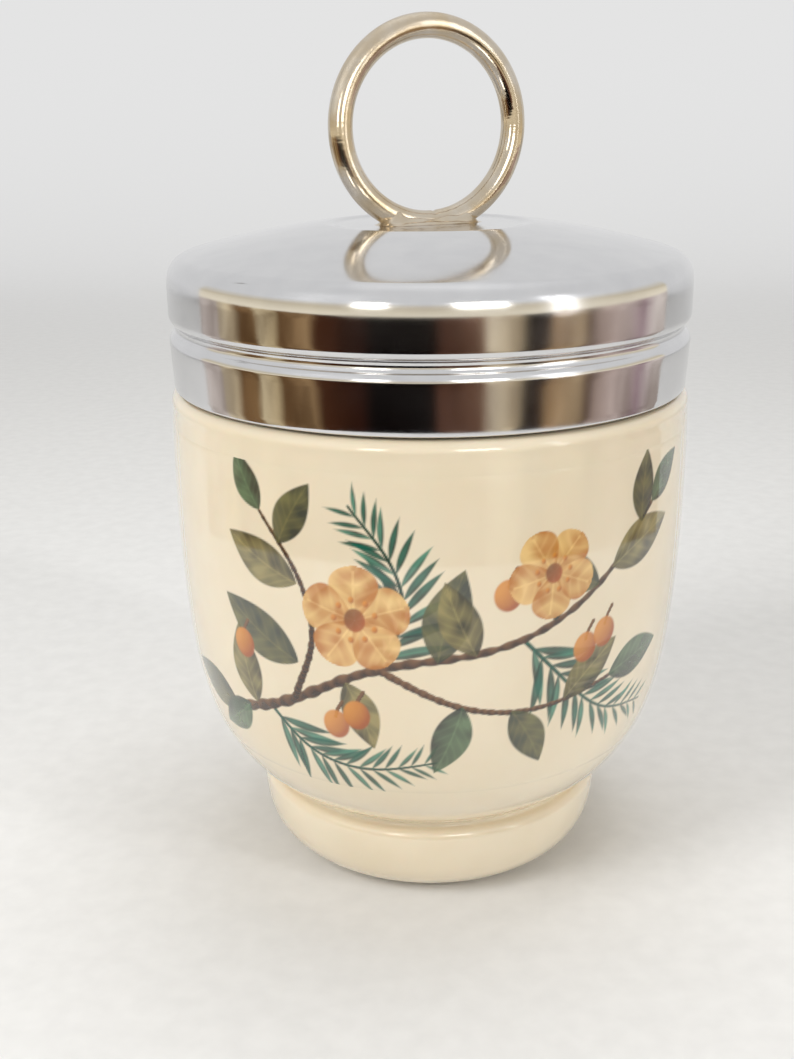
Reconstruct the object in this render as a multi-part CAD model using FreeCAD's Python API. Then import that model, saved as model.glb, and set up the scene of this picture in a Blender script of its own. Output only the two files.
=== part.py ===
import FreeCAD, Part
import math
import os

Vector = FreeCAD.Vector

# Porcelain egg coddler: a footed cup with a threaded neck and a pressed metal screw lid.
# Millimetres. +Z is up, the origin is the centre of the foot on the table.

# Foot of the cup
RECESS_RADIUS = 12.0
RECESS_DEPTH = 2.6
REST_INNER_RADIUS = 14.4
REST_OUTER_RADIUS = 16.2
FOOT_RADIUS = 23.4
FOOT_HEIGHT = 10.7
FOOT_SIDE_HEIGHT = 5.0

# Bowl of the cup, its two sides as radius and height from the foot upwards
WAIST_RADIUS = 22.1
WAIST_HEIGHT = 11.45
BOWL_RADIUS = 33.4
BOWL_TOP = 62.6
LEDGE_HEIGHT = 64.4
LEDGE_RADIUS = 32.0
INSIDE_RADIUS = 29.9
INSIDE_FLOOR = 7.2
OUTER_SIDE = [(26.0, 14.6), (29.4, 19.8), (31.6, 26.8), (32.8, 36.0), (33.35, 47.0), (33.4, 56.0)]
INNER_SIDE = [
    (9.0, 7.9), (18.6, 11.8), (25.6, 20.4), (29.0, 31.0), (INSIDE_RADIUS, 45.0), (29.4, 55.0), (27.7, 62.0)]

# Neck and rim of the cup
NECK_RADIUS = 29.6
MOUTH_RADIUS = 26.3
MOUTH_BOTTOM = 68.0
RIM_HEIGHT = 78.2
RIM_ROUND = 1.2
RIM_LAND_INNER = 27.4
RIM_LAND_OUTER = 28.4

# Screw thread between the neck and the lid's liner: one start, right hand
LEAD = 5.0
NECK_THREAD_TURNS = 1.3
NECK_THREAD_START = 68.2
NECK_THREAD_TIP = 30.6
NECK_THREAD_BASE_WIDTH = 2.4
NECK_THREAD_TIP_WIDTH = 1.2
LINER_THREAD_TURNS = 1.15
LINER_THREAD_LEAD_IN = 36.0
LINER_THREAD_DROP = 1.7
LINER_THREAD_TIP = 29.95
LINER_THREAD_BASE_WIDTH = 2.2
LINER_THREAD_TIP_WIDTH = 1.1
THREAD_ROOT_SINK = 0.25
RUN_OUT_RADIUS = 20.0

# Pressed outer shell of the lid
SHEET = 0.6
SKIRT_BOTTOM = 64.7
SKIRT_RADIUS = 32.75
BAND_RADIUS = 33.05
GROOVE_HEIGHT = 73.6
GROOVE_DEPTH = 0.85
GROOVE_LIP = 1.3
GROOVE_HOLLOW = 0.9
SHOULDER_ROUND = 2.0
DOME_TOP = 85.2
DOME_RADIUS = 115.0
DIMPLE_FLOOR = 84.2
DIMPLE_RADIUS = 13.0
DIMPLE_ROUND = 4.0

# Threaded liner pressed into the shell
LINER_SHEET = 0.5
LINER_RADIUS = 31.55
LINER_BOTTOM = 65.6
LINER_UNDERSIDE = 79.5
LINER_CORNER = 1.2

# Soft washer between the rim and the liner
WASHER_INNER_RADIUS = 26.9
WASHER_OUTER_RADIUS = 30.3
WASHER_CLEARANCE = 0.02

# Lifting ring: a wire hoop, ground flat where it is soldered down
RING_OUTER_RADIUS = 13.1
WIRE_RADIUS = 1.5
RING_CENTRE = 95.9
RING_TURN = 24.0

# Solder seat round the foot of the ring
SOLDER_HEIGHT = 0.9
SOLDER_BASE_SPREAD = 1.3
SOLDER_TOP_SPREAD = 0.35

AXIS = Vector(0, 0, 1)
CENTRE = Vector(0, 0, 0)


def at(radius, height):
    """A point of a turned outline, in the plane y = 0."""
    return Vector(radius, 0, height)


def line(start, end):
    return Part.LineSegment(start, end).toShape()


def arc(start, through, end):
    return Part.Arc(start, through, end).toShape()


def arc_about(centre, radius, start, end):
    """The shorter arc about a centre, from start to end."""
    middle = (start - centre).normalize() + (end - centre).normalize()
    return arc(start, centre + middle.normalize() * radius, end)


def curve(points, start_way, end_way):
    """A smooth curve through the points, leaving and arriving along two directions."""
    spline = Part.BSplineCurve()
    spline.interpolate(Points=points, InitialTangent=start_way, FinalTangent=end_way)
    return spline.toShape()


def turned(edges):
    """The solid made by turning a closed outline about the upright axis."""
    outline = Part.Wire(Part.__sortEdges__(edges))
    return Part.Face(outline).revolve(CENTRE, AXIS, 360)


def tangent_point(centre, other, radius):
    """Where a circle meets the next one, on the line between their centres."""
    return centre + (other - centre).normalize() * radius


def helical_ridge(base_radius, tip_radius, base_width, tip_width, turns):
    """A thread ridge of trapezium section, its middle starting at height 0 on the +X side."""
    section = Part.makePolygon([
        at(base_radius, -base_width / 2),
        at(tip_radius, -tip_width / 2),
        at(tip_radius, tip_width / 2),
        at(base_radius, base_width / 2),
        at(base_radius, -base_width / 2),
    ])
    path = Part.Wire(Part.makeHelix(LEAD, LEAD * turns, base_radius).Edges)
    return path.makePipeShell([section], True, True)


def rotated(shape, degrees):
    """A copy turned about the upright axis."""
    copy = shape.copy()
    copy.rotate(CENTRE, AXIS, degrees)
    return copy


def neck_thread():
    """The neck's ridge, faded into the neck over a flat at each end."""
    ridge = helical_ridge(
        NECK_RADIUS - THREAD_ROOT_SINK, NECK_THREAD_TIP,
        NECK_THREAD_BASE_WIDTH, NECK_THREAD_TIP_WIDTH, NECK_THREAD_TURNS)
    height = LEAD * NECK_THREAD_TURNS
    flat_size = 4 * LEAD
    flat = Part.makeBox(
        flat_size, flat_size, flat_size,
        Vector(NECK_RADIUS - THREAD_ROOT_SINK / 2, -flat_size / 2, -flat_size / 2))
    ridge = ridge.cut(flat)
    end_flat = rotated(flat, 360 * NECK_THREAD_TURNS)
    end_flat.translate(AXIS * (height + flat_size / 2 - LEAD / 2))
    ridge = ridge.cut(end_flat)
    ridge.translate(AXIS * NECK_THREAD_START)
    return ridge


def liner_thread():
    """The liner's inward ridge, faded into its wall by a round cutter at each end."""
    wall = LINER_RADIUS - LINER_SHEET
    ridge = helical_ridge(
        wall + THREAD_ROOT_SINK, LINER_THREAD_TIP,
        LINER_THREAD_BASE_WIDTH, LINER_THREAD_TIP_WIDTH, LINER_THREAD_TURNS)
    height = LEAD * LINER_THREAD_TURNS
    cutter = Part.makeCylinder(
        RUN_OUT_RADIUS, LEAD, Vector(wall + THREAD_ROOT_SINK / 2 - RUN_OUT_RADIUS, 0, -LEAD / 2))
    ridge = ridge.cut(cutter)
    end_cutter = rotated(cutter, 360 * LINER_THREAD_TURNS)
    end_cutter.translate(AXIS * height)
    ridge = ridge.cut(end_cutter)
    start = NECK_THREAD_START - LINER_THREAD_DROP + LEAD * LINER_THREAD_LEAD_IN / 360
    ridge = rotated(ridge, LINER_THREAD_LEAD_IN)
    ridge.translate(AXIS * start)
    return ridge


def cup():
    """Foot ring, round bowl, ledge and threaded neck, in one piece of porcelain."""
    recess_roof = at(RECESS_RADIUS, RECESS_DEPTH)
    rest_inner = at(REST_INNER_RADIUS, 0)
    rest_outer = at(REST_OUTER_RADIUS, 0)
    foot_side = at(FOOT_RADIUS - 0.5, FOOT_SIDE_HEIGHT)
    foot_reach = foot_side.x - rest_outer.x
    foot_round = (foot_reach ** 2 + foot_side.z ** 2) / (2 * foot_side.z)
    foot_top = at(FOOT_RADIUS, FOOT_HEIGHT - 1.4)
    foot_shoulder = at(WAIST_RADIUS + 0.1, FOOT_HEIGHT)
    waist = at(WAIST_RADIUS, WAIST_HEIGHT)
    bowl_top = at(BOWL_RADIUS - 0.2, BOWL_TOP)
    ledge_outer = at(LEDGE_RADIUS, LEDGE_HEIGHT)
    ledge_inner = at(NECK_RADIUS + 0.8, LEDGE_HEIGHT)
    neck_bottom = at(NECK_RADIUS, LEDGE_HEIGHT + 0.8)
    neck_top = at(NECK_RADIUS, RIM_HEIGHT - RIM_ROUND)
    land_outer = at(RIM_LAND_OUTER, RIM_HEIGHT)
    land_inner = at(RIM_LAND_INNER, RIM_HEIGHT)
    mouth_top = at(MOUTH_RADIUS, RIM_HEIGHT - RIM_ROUND)
    mouth_bottom = at(MOUTH_RADIUS, MOUTH_BOTTOM)
    floor_middle = at(0, INSIDE_FLOOR)
    roof_middle = at(0, RECESS_DEPTH)

    bowl_points = [waist] + [at(*place) for place in OUTER_SIDE] + [bowl_top]
    inside_points = [mouth_bottom] + [at(*place) for place in reversed(INNER_SIDE)] + [floor_middle]
    body = turned([
        line(roof_middle, recess_roof),
        arc(recess_roof, at(13.6, 1.75), rest_inner),
        line(rest_inner, rest_outer),
        arc_about(at(REST_OUTER_RADIUS, foot_round), foot_round, rest_outer, foot_side),
        arc(foot_side, at(FOOT_RADIUS - 0.07, 7.2), foot_top),
        arc(foot_top, at(FOOT_RADIUS - 0.36, FOOT_HEIGHT - 0.42), foot_shoulder),
        arc(foot_shoulder, at(WAIST_RADIUS - 0.2, FOOT_HEIGHT + 0.3), waist),
        curve(bowl_points, Vector(0.85, 0, 0.5), Vector(-0.06, 0, 1)),
        arc(bowl_top, at(32.9, 63.9), ledge_outer),
        line(ledge_outer, ledge_inner),
        arc(ledge_inner, at(NECK_RADIUS + 0.23, LEDGE_HEIGHT + 0.23), neck_bottom),
        line(neck_bottom, neck_top),
        arc(neck_top, at(NECK_RADIUS - 0.35, RIM_HEIGHT - 0.35), land_outer),
        line(land_outer, land_inner),
        arc(land_inner, at(MOUTH_RADIUS + 0.33, RIM_HEIGHT - 0.35), mouth_top),
        line(mouth_top, mouth_bottom),
        curve(inside_points, Vector(0, 0, -1), Vector(-1, 0, 0)),
        line(floor_middle, roof_middle),
    ])
    return body.fuse(neck_thread()).removeSplitter()


def shell_outline(inset):
    """One face of the lid's sheet, from the skirt's bottom to the middle of the dimple.

    The outside has an inset of 0, and the inside is the same line moved in by the sheet.
    """
    band = BAND_RADIUS - inset
    lip = GROOVE_LIP - inset
    hollow = GROOVE_HOLLOW + inset
    lip_middle = BAND_RADIUS - GROOVE_LIP
    hollow_middle = BAND_RADIUS - GROOVE_DEPTH + GROOVE_HOLLOW
    reach = GROOVE_LIP + GROOVE_HOLLOW
    rise = math.sqrt(reach ** 2 - (hollow_middle - lip_middle) ** 2)
    lower_lip = at(lip_middle, GROOVE_HEIGHT - rise)
    groove = at(hollow_middle, GROOVE_HEIGHT)
    upper_lip = at(lip_middle, GROOVE_HEIGHT + rise)

    dome_centre = at(0, DOME_TOP - DOME_RADIUS)
    shoulder_middle = BAND_RADIUS - SHOULDER_ROUND
    shoulder_reach = DOME_RADIUS - SHOULDER_ROUND
    shoulder_height = dome_centre.z + math.sqrt(shoulder_reach ** 2 - shoulder_middle ** 2)
    shoulder = at(shoulder_middle, shoulder_height)
    crest_reach = DOME_RADIUS - DIMPLE_ROUND
    crest_height = dome_centre.z + math.sqrt(crest_reach ** 2 - DIMPLE_RADIUS ** 2)
    crest = at(DIMPLE_RADIUS, crest_height)
    fall = DIMPLE_FLOOR + DIMPLE_ROUND - crest_height
    well = at(DIMPLE_RADIUS - math.sqrt(4 * DIMPLE_ROUND ** 2 - fall ** 2), crest_height + fall)

    skirt_bottom = at(SKIRT_RADIUS - inset, SKIRT_BOTTOM + SHEET / 2)
    skirt_top = at(band, lower_lip.z)
    lip_end = tangent_point(lower_lip, groove, lip)
    hollow_end = tangent_point(upper_lip, groove, lip)
    band_bottom = at(band, upper_lip.z)
    band_top = at(band, shoulder.z)
    dome_edge = dome_centre + (shoulder - dome_centre).normalize() * (DOME_RADIUS - inset)
    dome_crest = dome_centre + (crest - dome_centre).normalize() * (DOME_RADIUS - inset)
    dimple_side = tangent_point(crest, well, DIMPLE_ROUND - inset)
    floor_edge = at(well.x, DIMPLE_FLOOR - inset)
    return [
        line(skirt_bottom, skirt_top),
        arc_about(lower_lip, lip, skirt_top, lip_end),
        arc_about(groove, hollow, lip_end, hollow_end),
        arc_about(upper_lip, lip, hollow_end, band_bottom),
        line(band_bottom, band_top),
        arc_about(shoulder, SHOULDER_ROUND - inset, band_top, dome_edge),
        arc_about(dome_centre, DOME_RADIUS - inset, dome_edge, dome_crest),
        arc_about(crest, DIMPLE_ROUND - inset, dome_crest, dimple_side),
        arc_about(well, DIMPLE_ROUND + inset, dimple_side, floor_edge),
        line(floor_edge, at(0, DIMPLE_FLOOR - inset)),
    ]


def lid_shell():
    """Pressed sheet: low dome with a dimple, round shoulder, rolled groove and skirt."""
    bottom_height = SKIRT_BOTTOM + SHEET / 2
    rounded_edge = arc(
        at(SKIRT_RADIUS, bottom_height),
        at(SKIRT_RADIUS - SHEET / 2, SKIRT_BOTTOM),
        at(SKIRT_RADIUS - SHEET, bottom_height))
    middle = line(at(0, DIMPLE_FLOOR), at(0, DIMPLE_FLOOR - SHEET))
    return turned(shell_outline(0) + shell_outline(SHEET) + [rounded_edge, middle])


def lid_liner():
    """Pressed cap with the lid's thread, held in the shell by the rolled groove."""
    wall = LINER_RADIUS - LINER_SHEET
    top = LINER_UNDERSIDE + LINER_SHEET
    corner = at(LINER_RADIUS - LINER_CORNER, top - LINER_CORNER)
    cap = turned([
        line(at(LINER_RADIUS, LINER_BOTTOM), at(LINER_RADIUS, corner.z)),
        arc_about(corner, LINER_CORNER, at(LINER_RADIUS, corner.z), at(corner.x, top)),
        line(at(corner.x, top), at(0, top)),
        line(at(0, top), at(0, LINER_UNDERSIDE)),
        line(at(0, LINER_UNDERSIDE), at(corner.x, LINER_UNDERSIDE)),
        arc_about(
            corner, LINER_CORNER - LINER_SHEET,
            at(corner.x, LINER_UNDERSIDE), at(wall, corner.z)),
        line(at(wall, corner.z), at(wall, LINER_BOTTOM)),
        line(at(wall, LINER_BOTTOM), at(LINER_RADIUS, LINER_BOTTOM)),
    ])
    return cap.fuse(liner_thread()).removeSplitter()


def sealing_washer():
    """Flat soft ring that the lid presses on the rim."""
    low = RIM_HEIGHT + WASHER_CLEARANCE
    high = LINER_UNDERSIDE - WASHER_CLEARANCE
    inner = WASHER_INNER_RADIUS
    outer = WASHER_OUTER_RADIUS
    return turned([
        line(at(inner, low), at(outer, low)),
        line(at(outer, low), at(outer, high)),
        line(at(outer, high), at(inner, high)),
        line(at(inner, high), at(inner, low)),
    ])


def hoop():
    """The whole wire ring before its foot is ground flat, in the plane y = 0."""
    return Part.makeTorus(
        RING_OUTER_RADIUS - WIRE_RADIUS, WIRE_RADIUS, at(0, RING_CENTRE), Vector(0, 1, 0))


def lifting_ring():
    """Wire ring standing on a flat ground across its lowest part."""
    depth = 2 * RING_OUTER_RADIUS
    under_floor = Part.makeBox(
        depth, depth, depth, Vector(-depth / 2, -depth / 2, DIMPLE_FLOOR - depth))
    return rotated(hoop().cut(under_floor), RING_TURN)


def slot_outline(half_length, half_width, height):
    """A long rounded outline: two straight sides joined by half circles."""
    straight = half_length - half_width
    return Part.Wire([
        line(Vector(-straight, -half_width, height), Vector(straight, -half_width, height)),
        arc(Vector(straight, -half_width, height), Vector(half_length, 0, height),
            Vector(straight, half_width, height)),
        line(Vector(straight, half_width, height), Vector(-straight, half_width, height)),
        arc(Vector(-straight, half_width, height), Vector(-half_length, 0, height),
            Vector(-straight, -half_width, height)),
    ])


def ring_braze():
    """Low sloping bank of solder round the ground foot of the ring."""
    sunk = RING_CENTRE - DIMPLE_FLOOR
    half_chord = math.sqrt(RING_OUTER_RADIUS ** 2 - sunk ** 2)
    base = slot_outline(
        half_chord + SOLDER_BASE_SPREAD, WIRE_RADIUS + SOLDER_BASE_SPREAD, DIMPLE_FLOOR)
    top = slot_outline(
        half_chord + SOLDER_TOP_SPREAD, WIRE_RADIUS + SOLDER_TOP_SPREAD,
        DIMPLE_FLOOR + SOLDER_HEIGHT)
    bank = Part.makeLoft([base, top], True, True)
    return rotated(bank.cut(hoop()), RING_TURN)


PIECES = {
    "cup": cup,
    "lid_shell": lid_shell,
    "lid_liner": lid_liner,
    "sealing_washer": sealing_washer,
    "lifting_ring": lifting_ring,
    "ring_braze": ring_braze,
}

os.makedirs("parts", exist_ok=True)
for node, make in PIECES.items():
    solid = make()
    solid.exportStep(f"parts/{node}.step")
    print(node, "solids", len(solid.Solids), "valid", solid.isValid(), "mm3", round(solid.Volume, 1))
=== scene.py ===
import math

import bpy
import numpy as np
from mathutils import Matrix, Vector


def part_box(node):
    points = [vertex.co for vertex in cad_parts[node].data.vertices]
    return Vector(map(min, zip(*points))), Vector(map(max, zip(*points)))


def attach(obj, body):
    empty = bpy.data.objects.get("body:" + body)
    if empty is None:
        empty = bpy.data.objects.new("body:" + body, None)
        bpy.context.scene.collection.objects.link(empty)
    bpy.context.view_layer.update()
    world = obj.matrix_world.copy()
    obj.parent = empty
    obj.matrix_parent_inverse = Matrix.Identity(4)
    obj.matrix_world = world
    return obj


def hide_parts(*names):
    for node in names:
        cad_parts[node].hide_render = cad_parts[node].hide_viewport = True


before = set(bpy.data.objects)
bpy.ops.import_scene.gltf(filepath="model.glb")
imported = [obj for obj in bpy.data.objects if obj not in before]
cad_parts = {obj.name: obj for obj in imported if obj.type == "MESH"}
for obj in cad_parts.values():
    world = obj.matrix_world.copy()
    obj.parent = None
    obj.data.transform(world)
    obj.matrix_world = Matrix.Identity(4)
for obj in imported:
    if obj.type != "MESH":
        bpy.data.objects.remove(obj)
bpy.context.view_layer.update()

bl_info = {
    "name": "Porcelain egg coddler",
    "version": (1, 0, 0),
    "blender": (4, 5, 0),
    "location": "View3D > Sidebar > Coddler",
    "description": "Builds the glazed cup, its printed spray and the chromed screw lid",
    "category": "Add Mesh",
}

MM = 0.001
TAU = 2 * math.pi

# Sizes in millimetres, read from the solids' boxes or the same as in the solids
CUP_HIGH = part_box("cup")[1]
LID_LOW, LID_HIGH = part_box("lid_shell")
RING_LOW, RING_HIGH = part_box("lifting_ring")
RIM_HEIGHT = CUP_HIGH[2] / MM
SKIRT_BOTTOM = LID_LOW[2] / MM
BAND_RADIUS = LID_HIGH[0] / MM
RING_TOP = RING_HIGH[2] / MM
DIMPLE_FLOOR = RING_LOW[2] / MM
RING_RADIUS = 13.1
LEAD = 5.0
NECK_RADIUS = 29.6
MOUTH_RADIUS = 26.3
BOWL_RADIUS = 33.4
LEDGE_HEIGHT = 64.4
LINER_WALL = 31.05
LINER_RADIUS = 31.55
LINER_TOP = 80.0
SHEET = 0.6
GROOVE_DEPTH = 0.85
GROOVE_LIP = 1.3
GROOVE_HOLLOW = 0.9
DIMPLE_RADIUS = 13.0
DIMPLE_ROUND = 4.0
DOME_TOP = 85.2
DOME_RADIUS = 115.0

# These follow the photograph, where the solids' groove is 1.3 mm higher; the lean is in degrees
GROOVE_HEIGHT = 72.3
SHOULDER_START = 77.0
SHOULDER_EASE = 10.0
SHOULDER_LEAN = 10.0

# The cards that the metal mirrors: dark tones up to CARD_DARK_TOP and pale ones above it
CARD_RADIUS = 160.0
CARD_BOTTOM = 1.0
CARD_DARK_TOP = 73.0
CARD_TOP = 223.0
CARD_ROOF_BACK = 150.0

# Painted reflection tones of the cards by bearing: 0.25 is behind the camera, 0 the left and 0.5 the
# right
CARD_TONES = [
    (0.000, "#EFE0C2"), (0.020, "#E6D3AE"), (0.034, "#7A5A3A"), (0.055, "#8C6C48"),
    (0.062, "#E2CFA8"), (0.082, "#D2BC92"), (0.090, "#7C5C3C"), (0.125, "#A58660"),
    (0.138, "#4A2C1C"), (0.180, "#34180F"), (0.190, "#0E0908"), (0.255, "#100B0A"),
    (0.264, "#5E3E30"), (0.305, "#85614C"), (0.315, "#E8D8BC"), (0.340, "#DCC8A4"),
    (0.350, "#1C1210"), (0.372, "#2A1A14"), (0.382, "#B08E66"), (0.415, "#C8AE88"),
    (0.425, "#5A4030"), (0.440, "#C9B2A6"), (0.480, "#D8C6BE"), (0.505, "#A88E94"),
    (0.530, "#E4D8D0"),
]

# Wet gloss of the porcelain and of the print under the same glaze
GLAZE = {
    "Roughness": 0.07, "IOR": 1.52, "Subsurface Weight": 0.06, "Subsurface Scale": 0.002,
    "Coat Weight": 0.9, "Coat Roughness": 0.03,
}


def srgb(code):
    """The linear colour of an sRGB hex code."""
    values = np.array([int(code[i:i + 2], 16) for i in (1, 3, 5)]) / 255
    linear = np.where(values <= 0.04045, values / 12.92, ((values + 0.055) / 1.055) ** 2.4)
    return tuple(float(value) for value in linear)


def smoothstep(value):
    """0 below 0, 1 above 1, and 3v^2 - 2v^3 between."""
    clipped = np.clip(value, 0, 1)
    return clipped * clipped * (3 - 2 * clipped)


def arc_points(centre, radius, start, end, count=12):
    """Points of a circle about (r, z) from one angle to another, in degrees from +r."""
    angle = np.radians(np.linspace(start, end, count))
    return np.stack([centre[0] + radius * np.cos(angle), centre[1] + radius * np.sin(angle)], 1)


def straight(start, end, count=2):
    """Evenly spaced points of a straight run."""
    share = np.linspace(0, 1, count)[:, None]
    return np.array(start) * (1 - share) + np.array(end) * share


def round_through(start, through, end, count=12):
    """Points of the circle through three points, from the first to the last."""
    a, b, c = (np.array(point, float) for point in (start, through, end))
    rows = np.array([b - a, c - a]) * 2
    sums = np.array([b @ b - a @ a, c @ c - a @ a])
    centre = np.linalg.solve(rows, sums)
    angles = np.degrees([math.atan2(*(point - centre)[::-1]) for point in (a, b, c)])
    way = np.unwrap(angles, period=360)
    return arc_points(centre, np.linalg.norm(a - centre), way[0], way[2], count)


def smooth_curve(points, start_way, end_way, count=60):
    """A cubic spline through points, clamped to unit directions at its ends.

    Its parameter is the chord length, and its slopes solve the usual tridiagonal system.
    """
    points = np.array(points, float)
    step = np.linalg.norm(np.diff(points, axis=0), axis=1)
    knots = np.concatenate([[0], np.cumsum(step)])
    chord = np.diff(points, axis=0) / step[:, None]
    size = len(points)
    system = np.eye(size)
    target = np.zeros((size, points.shape[1]))
    target[0] = np.array(start_way) / np.linalg.norm(start_way)
    target[-1] = np.array(end_way) / np.linalg.norm(end_way)
    for i in range(1, size - 1):
        system[i, i - 1:i + 2] = step[i], 2 * (step[i - 1] + step[i]), step[i - 1]
        target[i] = 3 * (step[i] * chord[i - 1] + step[i - 1] * chord[i])
    slope = np.linalg.solve(system, target)
    along = np.linspace(0, knots[-1], count)
    span = np.clip(np.searchsorted(knots, along, side="right") - 1, 0, size - 2)
    width = step[span][:, None]
    part = ((along - knots[span]) / step[span])[:, None]
    return (
        (2 * part ** 3 - 3 * part ** 2 + 1) * points[span]
        + (part ** 3 - 2 * part ** 2 + part) * width * slope[span]
        + (3 * part ** 2 - 2 * part ** 3) * points[span + 1]
        + (part ** 3 - part ** 2) * width * slope[span + 1])


def joined(*runs):
    """Runs of points as one outline, without the points that repeat where they meet."""
    line = np.concatenate(runs)
    keep = np.concatenate([[True], np.linalg.norm(np.diff(line, axis=0), axis=1) > 5e-3])
    return line[keep]


def mesh_object(name, places, faces, smooth=True):
    """A mesh object at the origin from places in millimetres, its faces turned outwards."""
    places = np.asarray(places, float)
    faces = np.asarray(faces, int)
    corners = places[faces]
    halves = [corners[:, (0, 1, 2)]]
    if faces.shape[1] == 4:
        halves.append(corners[:, (0, 2, 3)])
    volume = sum(np.einsum("ij,ij->i", h[:, 0], np.cross(h[:, 1], h[:, 2])).sum() for h in halves)
    if volume < 0:
        faces = faces[:, ::-1]
    # A corner that a face meets twice in a row, at a pole, is kept once
    lists = [[c for i, c in enumerate(face) if c != face[i - 1]] for face in faces.tolist()]
    mesh = bpy.data.meshes.new(name)
    mesh.from_pydata((places * MM).tolist(), [], lists)
    mesh.polygons.foreach_set("use_smooth", np.full(len(mesh.polygons), smooth))
    mesh.update()
    piece = bpy.data.objects.new(name, mesh)
    bpy.context.scene.collection.objects.link(piece)
    return piece


def sheet_object(name, grid):
    """An open sheet: one face between each four neighbours of a grid of places."""
    rows, width = grid.shape[:2]
    index = np.arange(rows * width).reshape(rows, width)
    faces = np.stack([
        index[:-1, :-1], index[:-1, 1:], index[1:, 1:], index[1:, :-1]], -1).reshape(-1, 4)
    return mesh_object(name, grid.reshape(-1, 3), faces)


def closed_object(name, grid, pole_to_pole=True):
    """A closed surface from rings of places, between two poles or with the last ring at the first."""
    rings, sides = grid.shape[:2]
    index = np.arange(rings * sides).reshape(rings, sides)
    if pole_to_pole:
        index[0] = index[0, 0]
        index[-1] = index[-1, 0]
    else:
        index = np.concatenate([index, index[:1]])
    beside = np.roll(index, -1, axis=1)
    faces = np.stack([index[:-1], beside[:-1], beside[1:], index[1:]], -1).reshape(-1, 4)
    used, renumbered = np.unique(faces, return_inverse=True)
    return mesh_object(name, grid.reshape(-1, 3)[used], renumbered.reshape(faces.shape))


def turned_about(x, y, z, turn):
    """Places turned about the upright axis."""
    return np.stack([
        x * math.cos(turn) - y * math.sin(turn),
        x * math.sin(turn) + y * math.cos(turn), z], -1)


def turned_surface(name, outline, segments, pole_to_pole=True, ridge=None):
    """A profile (r, z) carried round the Z axis: x = r cos a, y = r sin a, z = z.

    With pole_to_pole its first and last points lie on the axis and are one vertex each.
    Otherwise the profile is a closed loop. ridge adds to r at each angle and height.
    """
    radius = outline[:, 0][:, None]
    height = outline[:, 1][:, None]
    angle = np.linspace(0, TAU, segments, endpoint=False)[None, :]
    spread = radius + (ridge(angle, height, radius) if ridge else 0 * angle)
    x = spread * np.cos(angle)
    y = spread * np.sin(angle)
    z = height + 0 * angle
    return closed_object(name, np.stack([x, y, z], -1), pole_to_pole)


def thread_ridge(angle, height, start_height, start_angle, turns, depth, base_width, tip_width):
    """Radial rise of a helical ridge: full within its tip's width, nothing past its base.

    The ridge's middle climbs one lead a turn from start_height, and both ends fade out.
    """
    rise = 0 * angle * height
    for whole in range(-1, 3):
        travel = (angle - start_angle) / TAU + whole
        offset = np.abs(height - start_height - LEAD * travel)
        flank = (base_width / 2 - offset) / (base_width / 2 - tip_width / 2)
        fade = smoothstep(travel / 0.05) * smoothstep((turns - travel) / 0.05)
        rise = np.maximum(rise, depth * smoothstep(flank) * fade)
    return rise


def bowl_outline():
    """The outer side of the bowl, from the waist above the foot to the shoulder."""
    points = [
        (22.1, 11.45), (26.0, 14.6), (29.4, 19.8), (31.6, 26.8),
        (32.8, 36.0), (33.35, 47.0), (33.4, 56.0), (33.2, 62.6),
    ]
    return smooth_curve(points, (0.85, 0.5), (-0.06, 1.0), 90)


def cup_outline():
    """The cup's whole section, from under the foot, over the rim, to the inside floor."""
    inside = [
        (MOUTH_RADIUS, 68.0), (27.7, 62.0), (29.4, 55.0), (29.9, 45.0), (29.0, 31.0),
        (25.6, 20.4), (18.6, 11.8), (9.0, 7.9), (0.0, 7.2),
    ]
    rim, neck, mouth, ledge = RIM_HEIGHT, NECK_RADIUS, MOUTH_RADIUS, LEDGE_HEIGHT
    return joined(
        straight((0, 2.6), (12.0, 2.6), 6),
        round_through((12.0, 2.6), (13.6, 1.75), (14.4, 0), 8),
        straight((14.4, 0), (16.2, 0), 3),
        arc_points((16.2, 6.989), 6.989, -90, -16.534, 18),
        round_through((22.9, 5.0), (23.33, 7.2), (23.4, 9.3), 8),
        round_through((23.4, 9.3), (23.04, 10.28), (22.2, 10.7), 10),
        round_through((22.2, 10.7), (21.9, 11.0), (22.1, 11.45), 8),
        bowl_outline(),
        round_through((33.2, 62.6), (32.9, 63.9), (32.0, ledge), 10),
        straight((32.0, ledge), (30.4, ledge), 3),
        round_through((30.4, ledge), (29.83, 64.63), (neck, 65.2), 6),
        straight((neck, 65.2), (neck, rim - 1.2), 64),
        round_through((neck, rim - 1.2), (29.25, rim - 0.35), (28.4, rim), 10),
        straight((28.4, rim), (27.4, rim), 3),
        round_through((27.4, rim), (26.63, rim - 0.35), (mouth, rim - 1.2), 10),
        straight((mouth, rim - 1.2), inside[0], 6),
        smooth_curve(inside, (0, -1), (-1, 0), 70))


def neck_ridge(angle, height, radius):
    """The cup's moulded thread, only where the outline is the neck's outer wall."""
    ridge = thread_ridge(
        angle, height, start_height=68.2, start_angle=0.0, turns=1.3, depth=1.0,
        base_width=2.4, tip_width=1.2)
    return ridge * (radius > NECK_RADIUS - 0.05) * (radius < NECK_RADIUS + 0.05)


def shoulder_circle(ease_middle, sphere, sphere_z):
    """The circle that carries on from the easing arc and touches the dome from inside.

    Its radius is halved in on until its middle is as far from the dome's as the radii differ.
    """
    lean = math.radians(SHOULDER_LEAN)
    low, high = 0.5, 4.0
    for _ in range(50):
        radius = (low + high) / 2
        reach = SHOULDER_EASE - radius
        middle_r = ease_middle[0] + reach * math.cos(lean)
        middle_z = ease_middle[1] + reach * math.sin(lean)
        if math.hypot(middle_r, middle_z - sphere_z) < sphere - radius:
            low = radius
        else:
            high = radius
    return middle_r, middle_z, radius


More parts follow.
